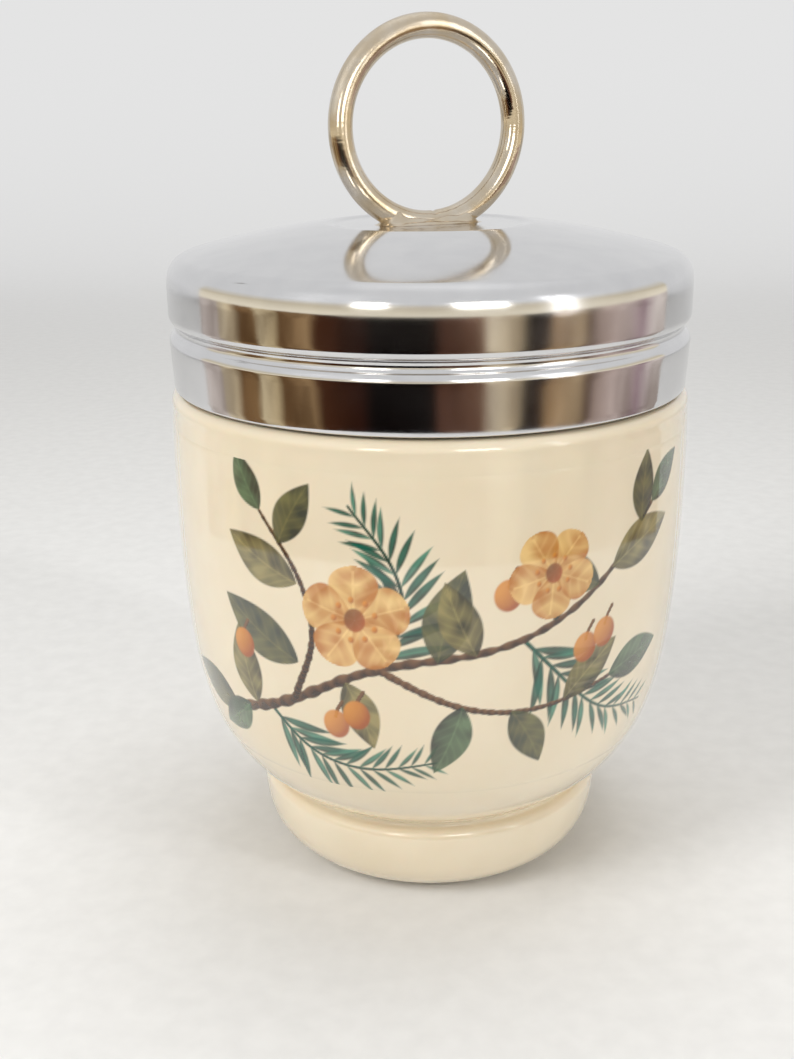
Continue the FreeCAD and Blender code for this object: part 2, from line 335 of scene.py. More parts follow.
def shell_side(inset):
    """The lid's sheet in section, from the skirt's bottom to the middle of the dimple.

    Each arc's radius changes by the inset, so two such lines are one sheet apart.
    """
    lip, hollow, fold = GROOVE_LIP - inset, GROOVE_HOLLOW + inset, DIMPLE_ROUND
    band = BAND_RADIUS - inset
    lip_r = BAND_RADIUS - GROOVE_LIP
    groove = (BAND_RADIUS - GROOVE_DEPTH + GROOVE_HOLLOW, GROOVE_HEIGHT)
    rise = math.sqrt((GROOVE_LIP + GROOVE_HOLLOW) ** 2 - (groove[0] - lip_r) ** 2)
    turn = math.degrees(math.atan2(rise, groove[0] - lip_r))
    low_lip = (lip_r, groove[1] - rise)
    high_lip = (lip_r, groove[1] + rise)
    sphere = DOME_RADIUS
    sphere_z = DOME_TOP - sphere
    ease_middle = (BAND_RADIUS - SHOULDER_EASE, SHOULDER_START)
    shoulder_r, shoulder_z, rounding = shoulder_circle(ease_middle, sphere, sphere_z)
    shoulder_turn = math.degrees(math.atan2(shoulder_z - sphere_z, shoulder_r))
    crest_r = DIMPLE_RADIUS
    crest_z = sphere_z + math.sqrt((sphere - fold) ** 2 - crest_r ** 2)
    crest_turn = math.degrees(math.atan2(crest_z - sphere_z, crest_r))
    fall = DIMPLE_FLOOR + fold - crest_z
    well = (crest_r - math.sqrt(4 * fold ** 2 - fall ** 2), crest_z + fall)
    well_turn = math.degrees(math.atan2(fall, well[0] - crest_r))
    return joined(
        straight((BAND_RADIUS - 0.3 - inset, SKIRT_BOTTOM + 0.3), (band, low_lip[1]), 8),
        arc_points(low_lip, lip, 0, turn, 14),
        arc_points(groove, hollow, 180 + turn, 180 - turn, 20),
        arc_points(high_lip, lip, -turn, 0, 14),
        straight((band, high_lip[1]), (band, SHOULDER_START), 6),
        arc_points(ease_middle, SHOULDER_EASE - inset, 0, SHOULDER_LEAN, 14),
        arc_points((shoulder_r, shoulder_z), rounding - inset, SHOULDER_LEAN, shoulder_turn, 26),
        arc_points((0, sphere_z), sphere - inset, shoulder_turn, crest_turn, 30),
        arc_points((crest_r, crest_z), fold - inset, crest_turn, well_turn, 10),
        arc_points(well, fold + inset, well_turn - 180, -90, 10),
        straight((well[0], DIMPLE_FLOOR - inset), (0, DIMPLE_FLOOR - inset), 6))


def shell_outline():
    """Both faces of the lid's sheet, joined by a rounded edge at the skirt's bottom."""
    outside = shell_side(0.0)
    inside = shell_side(SHEET)
    edge = round_through(outside[0], (BAND_RADIUS - SHEET, SKIRT_BOTTOM), inside[0], 8)
    return joined(outside[::-1], edge, inside)


def liner_outline():
    """The liner's section: flat top, rounded corner and plain wall."""
    corner = (30.35, LINER_TOP - 1.2)
    return joined(
        straight((0, LINER_TOP), (corner[0], LINER_TOP), 8),
        arc_points(corner, 1.2, 90, 0, 10),
        straight((LINER_RADIUS, corner[1]), (LINER_RADIUS, 65.75), 4),
        arc_points((31.3, 65.85), 0.25, 0, -180, 10),
        straight((LINER_WALL, 65.9), (LINER_WALL, corner[1]), 64),
        arc_points(corner, 0.7, 0, 90, 8),
        straight((corner[0], LINER_TOP - 0.5), (0, LINER_TOP - 0.5), 8))


def washer_outline():
    """The washer's section: a flat strip on the cup's rim with rounded corners."""
    low = RIM_HEIGHT + 0.02
    high, inner, outer, corner = low + 1.06, 27.1, 30.1, 0.2
    return joined(
        straight((inner, low), (outer, low), 4),
        arc_points((outer, low + corner), corner, -90, 0, 5),
        arc_points((outer, high), corner, 0, 90, 5),
        arc_points((inner, high), corner, 90, 180, 5),
        arc_points((inner, low + corner), corner, 180, 268, 5))


def liner_ridge(angle, height, radius):
    """The liner's pressed thread, on the wall's inner face only."""
    ridge = thread_ridge(
        angle, height, start_height=67.0, start_angle=math.radians(36), turns=1.15, depth=1.1,
        base_width=2.2, tip_width=1.1)
    return -ridge * (np.abs(radius - LINER_WALL) < 0.01)


def node(tree, kind, links=None, **settings):
    """Adds a node, sets its properties or sockets by name, and links sockets into it."""
    made = tree.nodes.new(kind)
    for key, value in settings.items():
        if hasattr(made, key):
            setattr(made, key, value)
        else:
            made.inputs[key.replace("_", " ")].default_value = value
    for key, source in (links or {}).items():
        tree.links.new(source, made.inputs[key])
    return made


def noise(tree, vector, scale, detail=2.0):
    """The value of a noise texture over a vector."""
    made = node(tree, "ShaderNodeTexNoise", {"Vector": vector}, Scale=scale, Detail=detail)
    return made.outputs["Fac"]


def mapped(tree, value, **settings):
    """A value carried over from one range to another."""
    return node(tree, "ShaderNodeMapRange", {"Value": value}, **settings).outputs["Result"]


def new_material(name, **sockets):
    """A node material with one Principled shader, and that shader."""
    material = bpy.data.materials.new(name)
    material.use_nodes = True
    shader = material.node_tree.nodes["Principled BSDF"]
    for key, value in sockets.items():
        shader.inputs[key].default_value = value
    return material, material.node_tree, shader


def ramp(tree, source, stops):
    """A colour ramp over a value, from (position, colour) stops."""
    made = node(tree, "ShaderNodeValToRGB", {"Fac": source})
    elements = made.color_ramp.elements
    while len(elements) < len(stops):
        elements.new(0.5)
    for element, (position, colour) in zip(elements, stops):
        element.position = position
        element.color = (*colour, 1)
    return made.outputs["Color"]


def mixed(tree, share, first, second, blend="MIX"):
    """Two colours mixed; each is a socket or a fixed colour."""
    made = tree.nodes.new("ShaderNodeMix")
    made.data_type = "RGBA"
    made.blend_type = blend
    for key, value in (("Factor", share), ("A", first), ("B", second)):
        sockets = [s for s in made.inputs if s.name == key and s.enabled]
        if isinstance(value, bpy.types.NodeSocket):
            tree.links.new(value, sockets[0])
        elif key == "Factor":
            sockets[0].default_value = value
        else:
            sockets[0].default_value = (*value, 1)
    return [s for s in made.outputs if s.enabled][0]


def glaze(tree, shader, colour):
    """Ivory glaze over a colour: faint clouding and a soft orange peel."""
    place = node(tree, "ShaderNodeTexCoord").outputs["Object"]
    cloud = noise(tree, place, 90.0, 3.0)
    clouding = ramp(tree, cloud, [(0.35, (0.97, 0.955, 0.93)), (0.65, (1, 1, 1))])
    tinted = mixed(tree, 1.0, colour, clouding, "MULTIPLY")
    tree.links.new(tinted, shader.inputs["Base Color"])
    peel = noise(tree, place, 220.0, 1.0)
    bump = node(tree, "ShaderNodeBump", {"Height": peel}, Strength=0.05, Distance=0.0004)
    tree.links.new(bump.outputs["Normal"], shader.inputs["Normal"])
    return place, tinted


def porcelain_material(colours):
    """Porcelain, jiggered and dipped in clear glaze: warm white, wet gloss, dry foot ring."""
    material, tree, shader = new_material("glazed_porcelain", **GLAZE)
    base = node(tree, "ShaderNodeRGB")
    base.outputs[0].default_value = (*colours.porcelain, 1)
    place, glazed = glaze(tree, shader, base.outputs[0])
    height = node(tree, "ShaderNodeSeparateXYZ", {0: place}).outputs["Z"]
    bare = mapped(tree, height, From_Min=0.00004, From_Max=0.00009, To_Min=1.0, To_Max=0.0)
    grit = noise(tree, place, 2500.0)
    biscuit = ramp(tree, grit, [(0.3, srgb("#CFC4AE")), (0.7, srgb("#E4DBC8"))])
    tree.links.new(mixed(tree, bare, glazed, biscuit), shader.inputs["Base Color"])
    dry = mapped(tree, bare, To_Min=GLAZE["Roughness"], To_Max=0.7)
    tree.links.new(dry, shader.inputs["Roughness"])
    return material


def print_material():
    """Ceramic transfer fired under the glaze: soft-edged colour with the same wet gloss."""
    material, tree, shader = new_material("underglaze_transfer_print", **GLAZE)
    colour = node(tree, "ShaderNodeAttribute", attribute_name="print_colour")
    glaze(tree, shader, colour.outputs["Color"])
    return material


def chrome_material(name, colour, haze, scratch):
    """Chrome plate over pressed brass: near-mirror, with a light haze and hairline scratches."""
    material, tree, shader = new_material(name, Metallic=1.0)
    place = node(tree, "ShaderNodeTexCoord").outputs["Object"]
    dust = noise(tree, place, 260.0, 6.0)
    dulled = tuple(0.5 * value + 0.4 for value in colour)
    tint = ramp(tree, dust, [(0.3, colour), (0.75, dulled)])
    tree.links.new(tint, shader.inputs["Base Color"])
    patch = noise(tree, place, 45.0, 4.0)
    polish = 0.035
    rough = mapped(
        tree, patch, From_Min=0.3, From_Max=0.75, To_Min=polish, To_Max=polish + haze)
    stretch = node(tree, "ShaderNodeMapping", {"Vector": place}, Rotation=(0.4, 0.3, 0.7),
                   Scale=(40.0, 1600.0, 1600.0))
    hair = noise(tree, stretch.outputs["Vector"], 1.0)
    bump = node(tree, "ShaderNodeBump", {"Height": hair}, Strength=scratch, Distance=0.00002)
    tree.links.new(rough, shader.inputs["Roughness"])
    tree.links.new(bump.outputs["Normal"], shader.inputs["Normal"])
    return material


def tinned_material():
    """Tinned steel sheet, drawn and threaded in a press: grey satin with fine draw lines."""
    material, tree, shader = new_material("tinned_pressed_steel", Metallic=1.0)
    place = node(tree, "ShaderNodeTexCoord").outputs["Object"]
    bands = node(tree, "ShaderNodeMapping", {"Vector": place}, Scale=(60.0, 60.0, 1500.0))
    lines = noise(tree, bands.outputs["Vector"], 1.0, 4.0)
    tint = ramp(tree, lines, [(0.3, srgb("#9C9B97")), (0.7, srgb("#C2C0BA"))])
    tree.links.new(tint, shader.inputs["Base Color"])
    rough = mapped(tree, lines, To_Min=0.24, To_Max=0.42)
    tree.links.new(rough, shader.inputs["Roughness"])
    return material


def washer_material():
    """Food rubber, punched from sheet: off-white, matt, with a faint talc bloom."""
    material, tree, shader = new_material("moulded_food_rubber", Roughness=0.62)
    place = node(tree, "ShaderNodeTexCoord").outputs["Object"]
    bloom = noise(tree, place, 500.0, 5.0)
    tint = ramp(tree, bloom, [(0.3, srgb("#C9C0AC")), (0.7, srgb("#DAD3C4"))])
    tree.links.new(tint, shader.inputs["Base Color"])
    bump = node(tree, "ShaderNodeBump", {"Height": bloom}, Strength=0.25, Distance=0.0001)
    tree.links.new(bump.outputs["Normal"], shader.inputs["Normal"])
    return material


def ring_surface(name, wire, centre_radius, turn):
    """A wire hoop standing up: a circle of the wire's radius carried round the ring's circle.

    Points under the dimple's floor are raised to it, which grinds the flat of the foot.
    The wire narrows by 0.09 exp(-(a / 0.022)^2) at the butt joint beside the foot.
    """
    steps, sides = 256, 48
    around = np.linspace(0, TAU, steps, endpoint=False)[:, None]
    across = np.linspace(0, TAU, sides, endpoint=False)[None, :]
    seam = 1 - 0.09 * np.exp(-((around - 1.52 * math.pi) / 0.022) ** 2)
    reach = centre_radius + wire * seam * np.cos(across)
    x = reach * np.cos(around)
    y = wire * seam * np.sin(across)
    z = RING_TOP - centre_radius - wire + reach * np.sin(around)
    z = np.maximum(z, DIMPLE_FLOOR)
    places = turned_about(x, y, z, turn).reshape(-1, 3)
    index = np.arange(steps * sides).reshape(steps, sides)
    along = np.roll(index, -1, axis=0)
    faces = np.stack([
        index, along, np.roll(along, -1, axis=1), np.roll(index, -1, axis=1)], -1)
    return mesh_object(name, places, faces.reshape(-1, 4))


def solder_surface(name, wire, half_chord, turn):
    """A concave, lumpy bank of solder round the ring's foot.

    Rings of a slot outline are offset outwards by d (1 + 0.22 w), and stand at the height
    0.85 (1 - d / 1.25)^2 (1 + w), higher at both ends; w is a sum of two waves along the slot.
    The rings inside the wire close it.
    """
    part = np.linspace(0, 1, 44, endpoint=False)
    still = np.ones(len(part))
    angle = math.pi * np.concatenate([part - 0.5, 0.5 * still, part + 0.5, 1.5 * still])
    middle = np.concatenate([still, 1 - 2 * part, -still, 2 * part - 1])
    count = len(angle)
    straight_half = half_chord - wire
    along = 0.8 * straight_half * middle + np.cos(angle)
    wave = 0.16 * np.sin(along + np.sin(angle)) + 0.10 * np.sin(2.2 * along + angle)
    ends = 1 + 0.5 * np.abs(middle) ** 6 * (1 - 0.3 * middle)
    offsets = np.concatenate([[-1.3, -0.7], np.linspace(-0.2, 1.25, 14)])
    rows = []
    for offset in offsets:
        reach = wire + offset * (1 + 0.22 * wave)
        x = reach * np.cos(angle) + straight_half * middle
        y = reach * np.sin(angle)
        share = np.clip(1 - max(offset, 0.0) / 1.25, 0, 1)
        height = 0.85 * share ** 2 * (1 + wave) * ends
        rows.append(np.stack([x, y, DIMPLE_FLOOR + height], -1))
    rows.append(np.stack([x, y, 0 * x + DIMPLE_FLOOR], -1))
    top = rows[0].mean(axis=0)
    top[:2] = 0
    low = np.array([0, 0, DIMPLE_FLOOR])
    grid = np.concatenate([np.tile(top, (1, count, 1)), np.array(rows), np.tile(low, (1, count, 1))])
    return closed_object(name, turned_about(grid[..., 0], grid[..., 1], grid[..., 2], turn))


class Canvas:
    """A sheet of colour over part of the bowl: s runs round it and t up it, in millimetres."""

    def __init__(self, low, high, step, ground):
        self.low = np.array(low, float)
        self.step = step
        columns = int(round((high[0] - low[0]) / step)) + 1
        rows = int(round((high[1] - low[1]) / step)) + 1
        self.s, self.t = np.meshgrid(
            low[0] + step * np.arange(columns), low[1] + step * np.arange(rows))
        self.colour = np.ones(self.s.shape + (3,)) * np.array(ground)
        self.random = np.random.default_rng(7)
        # An uneven wash: the sum of 24 waves in random directions
        waves = self.random.uniform(-1, 1, (24, 2)) * 2.4
        shift = self.random.uniform(0, TAU, 24)
        self.wash = sum(
            np.sin(w[0] * self.s + w[1] * self.t + p) for w, p in zip(waves, shift)) / 5

    def window(self, middle, reach):
        """The slices of the sheet within reach of a point."""
        first = np.floor((np.array(middle) - reach - self.low) / self.step).astype(int)
        last = np.ceil((np.array(middle) + reach - self.low) / self.step).astype(int) + 1
        first = np.maximum(first, 0)
        last = np.maximum(last, 0)
        return slice(first[1], last[1]), slice(first[0], last[0])

    def lay(self, window, cover, colour):
        """Lays colour over the sheet as thickly as cover says."""
        under = self.colour[window]
        self.colour[window] = under + (colour - under) * cover[..., None]


def shaded(dark, light, tone):
    """Two colours mixed by a tone at each point, from 0 (dark) to 1 (light)."""
    share = np.clip(tone, 0, 1)[..., None]
    return np.array(dark) * (1 - share) + np.array(light) * share


def paint_leaf(canvas, base, heading, length, width, dark, light, bend=0.12, veins=7,
               skew=0.85, blunt=0.9):
    """A leaf: half its width is sin(pi u^skew)^blunt along a bent midrib, one side in shade."""
    angle = math.radians(heading)
    middle = (base[0] + math.cos(angle) * length / 2, base[1] + math.sin(angle) * length / 2)
    window = canvas.window(middle, length * 0.75)
    away_s = canvas.s[window] - base[0]
    away_t = canvas.t[window] - base[1]
    along = (away_s * math.cos(angle) + away_t * math.sin(angle)) / length
    across = -away_s * math.sin(angle) + away_t * math.cos(angle)
    across = across - bend * length * np.clip(along, 0, 1) * (1 - along)
    half = width / 2 * np.sin(math.pi * np.clip(along, 0, 1) ** skew) ** blunt
    inside = smoothstep((half - np.abs(across)) / 0.28 + 0.2) * (along > 0) * (along < 1)
    side = across / np.maximum(half, 0.05)
    vein = np.abs(np.sin(math.pi * veins * (along - 0.25 * np.abs(side)))) ** 6
    tone = 0.45 + 0.30 * side + 0.22 * canvas.wash[window] - 0.18 * np.abs(side) ** 3
    tone = tone + 0.18 * vein - 0.25 * smoothstep(1 - along / 0.25)
    rib = smoothstep(1 - np.abs(across) / 0.22) * (along < 0.92)
    canvas.lay(window, inside * 0.94, shaded(dark, light, tone + 0.35 * rib))


def paint_stem(canvas, points, widths, dark, light, knots=0.0):
    """A stem: dabs along a smooth curve, tapering, lit from above."""
    ways = np.diff(np.array(points, float), axis=0)
    path = smooth_curve(points, ways[0], ways[-1], 260)
    for i, place in enumerate(path):
        share = i / (len(path) - 1)
        radius = (widths[0] * (1 - share) + widths[1] * share) / 2
        radius = radius * (1 + knots * math.sin(i * 0.55) * math.sin(i * 0.17))
        window = canvas.window(place, radius + 0.5)
        away_s = canvas.s[window] - place[0]
        away_t = canvas.t[window] - place[1]
        gone = np.hypot(away_s, away_t)
        cover = smoothstep((radius - gone) / 0.22 + 0.5)
        tone = 0.45 + 0.5 * away_t / radius + 0.25 * math.sin(i * 0.9)
        canvas.lay(window, cover * 0.8, shaded(dark, light, tone))


def paint_berry(canvas, place, radius, dark, light):
    """A hip: a round dab, lit from the upper left, with a dark calyx dot."""
    window = canvas.window(place, radius * 1.5)
    away_s = (canvas.s[window] - place[0]) / radius
    away_t = (canvas.t[window] - place[1]) / (radius * 1.15)
    gone = np.hypot(away_s, away_t)
    tone = 0.55 - 0.45 * away_s + 0.4 * away_t - 0.3 * gone ** 3
    cover = smoothstep((1 - gone) * radius / 0.3 + 0.3)
    canvas.lay(window, cover * 0.92, shaded(dark, light, tone))


def paint_blossom(canvas, place, radius, tilt, colours):
    """A five-petalled flower: notched petals, a shaded throat and a ring of stamens."""
    for petal in range(5):
        heading = tilt + 72 * petal
        paint_leaf(canvas, place, heading, radius, radius * 0.92, colours["petal_shade"],
                   colours["petal"], bend=0.05, veins=4, skew=1.6, blunt=0.5)
    paint_berry(canvas, place, radius * 0.2, colours["hip_dark"], colours["pollen"])
    for stamen in range(9):
        angle = math.radians(tilt + 40 * stamen)
        tip = (place[0] + math.cos(angle) * radius * 0.38, place[1] + math.sin(angle) * radius * 0.38)
        paint_berry(canvas, tip, radius * 0.06, colours["hip_dark"], colours["hip"])


def paint_frond(canvas, points, leaflets, length, colours):
    """A feathery sprig: pairs of narrow leaflets along a thin curved stalk."""
    ways = np.diff(np.array(points, float), axis=0)
    path = smooth_curve(points, ways[0], ways[-1], leaflets + 2)
    paint_stem(canvas, points, (0.5, 0.25), colours["leaf_dark"], colours["teal"])
    for i in range(1, leaflets + 1):
        way = path[i + 1] - path[i - 1]
        heading = math.degrees(math.atan2(way[1], way[0]))
        size = length * (1.1 - 0.6 * i / leaflets)
        for side in (-1, 1):
            spread = 42 + 10 * canvas.random.uniform(-1, 1)
            tone = colours["teal"] if (i + side) % 3 else colours["teal_light"]
            paint_leaf(canvas, path[i], heading + side * spread, size, size * 0.17,
                       colours["leaf_dark"], tone, bend=-0.1 * side, veins=1)


def paint_front(canvas, colours):
    """The front spray: an arching bough with broad leaves, hips, two blossoms and fronds."""
    bough = [(-30, 27), (-19, 31), (-6, 37.5), (8, 40), (21, 46), (30, 54)]
    twig = [(-6, 37.5), (3, 33), (13, 31.5), (25, 33.5)]
    spur = [(-17, 32), (-14, 40), (-16, 49), (-20.5, 55)]
    paint_frond(canvas, [(-6, 37.5), (-3, 44), (-4.5, 51), (-9, 57)], 13, 8.2, colours)
    paint_frond(canvas, [(11, 40.8), (16, 35.5), (24, 29), (33, 27)], 14, 7.8, colours)
    paint_frond(canvas, [(-21, 30), (-16, 25.5), (-8, 23.5), (1, 25)], 13, 7.4, colours)
    bark = (colours["bark_dark"], colours["bark"])
    paint_stem(canvas, bough, (1.5, 0.6), *bark, 0.25)
    paint_stem(canvas, twig, (0.9, 0.45), *bark, 0.2)
    paint_stem(canvas, spur, (0.9, 0.4), *bark, 0.2)
    leaves = [
        (-28, 27.8, 165, 9.5, 4.2, 0), (-25, 29, 215, 8, 3.6, 1), (-23.5, 29.6, 100, 9, 4.0, 2),
        (-16, 37, 150, 11, 4.8, 0), (-14.6, 43, 25, 8.5, 3.8, 1), (-15.6, 47, 155, 9.5, 4.2, 2),
        (-18, 51.5, 60, 7.5, 3.4, 0), (-20.5, 55, 120, 6.5, 3.0, 1), (-10, 35.5, 290, 8, 3.6, 2),
        (1, 38.6, 75, 10, 4.4, 0), (5.5, 39.3, 112, 8.5, 3.8, 2), (4, 32.8, 250, 8.5, 3.8, 1),
        (10, 31.7, 300, 8, 3.6, 0), (17, 32, 40, 8.5, 3.8, 2), (24, 33.4, 10, 9, 4.0, 1),
        (15, 42.6, 88, 9, 4.0, 1), (21, 46, 150, 8.5, 3.9, 0), (23, 47.6, 20, 10, 4.4, 2),
        (28, 52, 85, 7.5, 3.4, 0), (30, 54, 40, 7, 3.1, 1),
    ]
    tones = (("leaf_dark", "olive"), ("leaf_dark", "leaf"), ("olive_dark", "olive_light"))
    for s, t, heading, length, width, tone in leaves:
        dark, light = tones[tone]
        paint_leaf(canvas, (s, t), heading, length * 1.18, width * 1.3, colours[dark],
                   colours[light])
    hips = [(-11.5, 29.6), (-8.8, 31.2), (19.5, 38.3), (22.4, 39.6), (9, 46.5), (-24.5, 37.5)]
    for s, t in hips:
        root = (s + 1.0, t + 3.2)
        paint_stem(canvas, [root, (s + 0.2, t + 1.8), (s, t + 1)], (0.35, 0.3), *bark)
        paint_berry(canvas, (s, t), 1.75, colours["hip_dark"], colours["hip"])
    paint_blossom(canvas, (-8.5, 43.5), 6.6, 18, colours)
    paint_blossom(canvas, (14.5, 48.5), 5.6, 50, colours)


def paint_back(canvas, colours):
    """The small sprig on the back: one stalk, a few leaves and two hips."""
    stalk = [(-8, 31), (-2, 35), (3, 40), (8, 47)]
    paint_frond(canvas, [(-2, 35), (4, 33.5), (10, 35.5)], 7, 4.2, colours)
    bark = (colours["bark_dark"], colours["bark"])
    paint_stem(canvas, stalk, (0.9, 0.4), *bark, 0.2)
    leaves = [(-6, 32.3, 150, 7.5, 3.4), (-1, 36, 120, 8, 3.6), (3, 40, 30, 8, 3.6),
              (5, 43, 125, 7, 3.2), (8, 47, 70, 6.5, 3.0)]
    for s, t, heading, length, width in leaves:
        paint_leaf(canvas, (s, t), heading, length, width, colours["leaf_dark"], colours["olive"])
    for s, t in [(-1.5, 31.2), (1.0, 29.6)]:
        paint_stem(canvas, [(s - 1, t + 3), (s, t + 1)], (0.35, 0.3), *bark)
        paint_berry(canvas, (s, t), 1.3, colours["hip_dark"], colours["hip"])


def print_panel(name, canvas, columns, facing):
    """A strip of the canvas wrapped on the bowl: angle = facing + s / R, r = bowl(t) + lift.

    The lift is 0.05 mm, and falls below the glaze along the sheet's outer edge.
    """
    s = canvas.s[:, columns]
    t = canvas.t[:, columns]
    bowl = bowl_outline()
    margin = np.minimum.reduce([
        canvas.s - canvas.s.min(), canvas.s.max() - canvas.s,
        canvas.t - canvas.t.min(), canvas.t.max() - canvas.t])[:, columns]
    radius = np.interp(t, bowl[:, 1], bowl[:, 0]) - 0.03 + 0.08 * smoothstep(margin)
    angle = math.radians(facing) + s / BOWL_RADIUS
    piece = sheet_object(name, np.stack([radius * np.cos(angle), radius * np.sin(angle), t], -1))
    attribute = piece.data.color_attributes.new("print_colour", "FLOAT_COLOR", "POINT")
    colour = np.ones((s.size, 4))
    colour[:, :3] = canvas.colour[:, columns].reshape(-1, 3)
    attribute.data.foreach_set("color", colour.ravel())
    return piece


def dress(piece, material, body, slot, *nodes):
    """Gives a finished piece its material and body, and hides the solids it stands for; slot is not
    used.
    """
    piece.data.materials.append(material)
    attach(piece, body)
    if nodes:
        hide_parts(*nodes)


def colour_setting(name, description, code):
    """A colour in the panel, from an sRGB hex code."""
    return bpy.props.FloatVectorProperty(
        name=name, description=description, subtype="COLOR", default=srgb(code))


class CoddlerColours(bpy.types.PropertyGroup):
    """Colours of the porcelain, the print and the metal."""

    porcelain: colour_setting("Porcelain", "Ivory of the glazed body", "#EDDFC4")
    leaf_dark: colour_setting("Dark leaf", "Shaded side of the leaves", "#1C2B24")
    leaf: colour_setting("Leaf", "Lit side of the green leaves", "#587553")
    olive: colour_setting("Olive", "Lit side of the olive leaves", "#6B693C")
    teal: colour_setting("Teal", "Fine fronds", "#1C6452")
    bark: colour_setting("Bark", "Lit side of the twigs", "#7D5637")
    hip: colour_setting("Hip", "Lit side of the ochre hips", "#E0963A")
    chrome: colour_setting("Chrome", "Plate on the lid", "#D8D8DA")
    ring: colour_setting("Ring", "Plate on the wire ring", "#C9B89C")


class CoddlerSizes(bpy.types.PropertyGroup):
    """Sizes that the finished surfaces add to the solids."""

    wire_radius: bpy.props.FloatProperty(
        name="Wire radius", description="Half the thickness of the ring's wire",
        default=1.5 * MM, unit="LENGTH")
    print_step: bpy.props.FloatProperty(
        name="Print step", description="Distance between the print's points of colour",
        default=0.16 * MM, unit="LENGTH")
    ring_turn: bpy.props.FloatProperty(
        name="Ring turn", description="How far the ring is turned about the upright axis",
        default=math.radians(24), subtype="ANGLE")
    exposure_level: bpy.props.FloatProperty(
        name="Light level", description="Share of the full lamp power", default=1.0)


def palette(colours):
    """The print's colours by name, the shades worked out from the named ones."""
    return {
        "leaf_dark": colours.leaf_dark, "leaf": colours.leaf, "olive": colours.olive,
        "olive_dark": srgb("#3A361E"), "olive_light": srgb("#968A54"), "teal": colours.teal,
        "teal_light": srgb("#478A73"), "bark": colours.bark, "bark_dark": srgb("#35231A"),
        "hip": colours.hip, "hip_dark": srgb("#A8531F"), "petal": srgb("#F1CB86"),
        "petal_shade": srgb("#BC7630"), "pollen": srgb("#7A4A1C"),
    }


class CODDLER_OT_cup(bpy.types.Operator):
    """Make the glazed cup with its foot, bowl and threaded neck"""

    bl_idname = "coddler.cup"
    bl_label = "Cup"

    def execute(self, context):
        piece = turned_surface("glazed_cup", cup_outline(), 256, ridge=neck_ridge)
        material = porcelain_material(context.scene.coddler_colours)
        dress(piece, material, "cup", "porcelain", "cup")
        return {"FINISHED"}


class CODDLER_OT_print(bpy.types.Operator):
    """Make the printed sprays on the front and the back of the bowl"""

    bl_idname = "coddler.print"
    bl_label = "Printed sprays"

    def execute(self, context):
        colours = context.scene.coddler_colours
        step = context.scene.coddler_sizes.print_step / MM
        shades = palette(colours)
        material = print_material()
        front = Canvas((-40, 19.5), (40, 61.0), step, colours.porcelain)
        paint_front(front, shades)
        middle = front.s.shape[1] // 2
        for name, columns in (
                ("front_spray_left", slice(0, middle + 1)),
                ("front_spray_right", slice(middle, None))):
            dress(print_panel(name, front, columns, -90), material, "cup", "porcelain")
        back = Canvas((-18, 25), (19, 57), step, colours.porcelain)
        paint_back(back, shades)
        dress(print_panel("back_sprig", back, slice(None), 90), material, "cup", "porcelain")
        return {"FINISHED"}


class CODDLER_OT_lid(bpy.types.Operator):
    """Make the lid's polished shell, its threaded liner and the washer"""

    bl_idname = "coddler.lid"
    bl_label = "Lid"

    def execute(self, context):
        colours = context.scene.coddler_colours
        shell = turned_surface("polished_shell", shell_outline(), 256)
        chrome = chrome_material("chromed_brass", colours.chrome, 0.16, 0.08)
        dress(shell, chrome, "lid", "chrome", "lid_shell")
        liner = turned_surface("threaded_liner", liner_outline(), 256, ridge=liner_ridge)
        dress(liner, tinned_material(), "lid", "tinned_steel", "lid_liner")
        washer = turned_surface("rim_washer", washer_outline(), 192, pole_to_pole=False)
        dress(washer, washer_material(), "seal", "washer_rubber", "sealing_washer")
        return {"FINISHED"}


class CODDLER_OT_ring(bpy.types.Operator):
    """Make the lifting ring and the solder round its foot"""

    bl_idname = "coddler.ring"
    bl_label = "Lifting ring"

    def execute(self, context):
        sizes = context.scene.coddler_sizes
        colours = context.scene.coddler_colours
        wire = sizes.wire_radius / MM
        radius = RING_RADIUS - wire
        plated = chrome_material("plated_wire", colours.ring, 0.26, 0.85)
        ring = ring_surface("plated_ring", wire, radius, sizes.ring_turn)
        dress(ring, plated, "lid", "ring_chrome", "lifting_ring")
        sunk = RING_TOP - RING_RADIUS - DIMPLE_FLOOR
        half_chord = math.sqrt(RING_RADIUS ** 2 - sunk ** 2)
        solder = chrome_material("plated_solder", colours.ring, 0.2, 0.5)
        bank = solder_surface("solder_bank", wire, half_chord, sizes.ring_turn)
        dress(bank, solder, "lid", "solder", "ring_braze")
        return {"FINISHED"}


def area_light(name, place, aim, size, power):
    """A soft box at a place, in metres, facing a point."""
    data = bpy.data.lights.new(name, "AREA")
    data.shape = "RECTANGLE"
    data.size, data.size_y = size
    data.energy = power
    lamp = bpy.data.objects.new(name, data)
    lamp.matrix_world = Matrix.Translation(place) @ (
        Vector(aim) - Vector(place)).to_track_quat("-Z", "Y").to_matrix().to_4x4()
    bpy.context.scene.collection.objects.link(lamp)


def sweep_surface(name):
    """The pale floor, which curves up into the backdrop: a line carried sideways."""
    line = joined(
        straight((-1.5, 0), (0.55, 0), 4),
        arc_points((0.55, 0.35), 0.35, -90, 0, 24),
        straight((0.9, 0.35), (0.9, 1.8), 3))
    across = np.linspace(-2.5, 2.5, 5)
    places = np.array([[(x, y, z) for x in across] for y, z in line]) / MM
    return sheet_object(name, places)


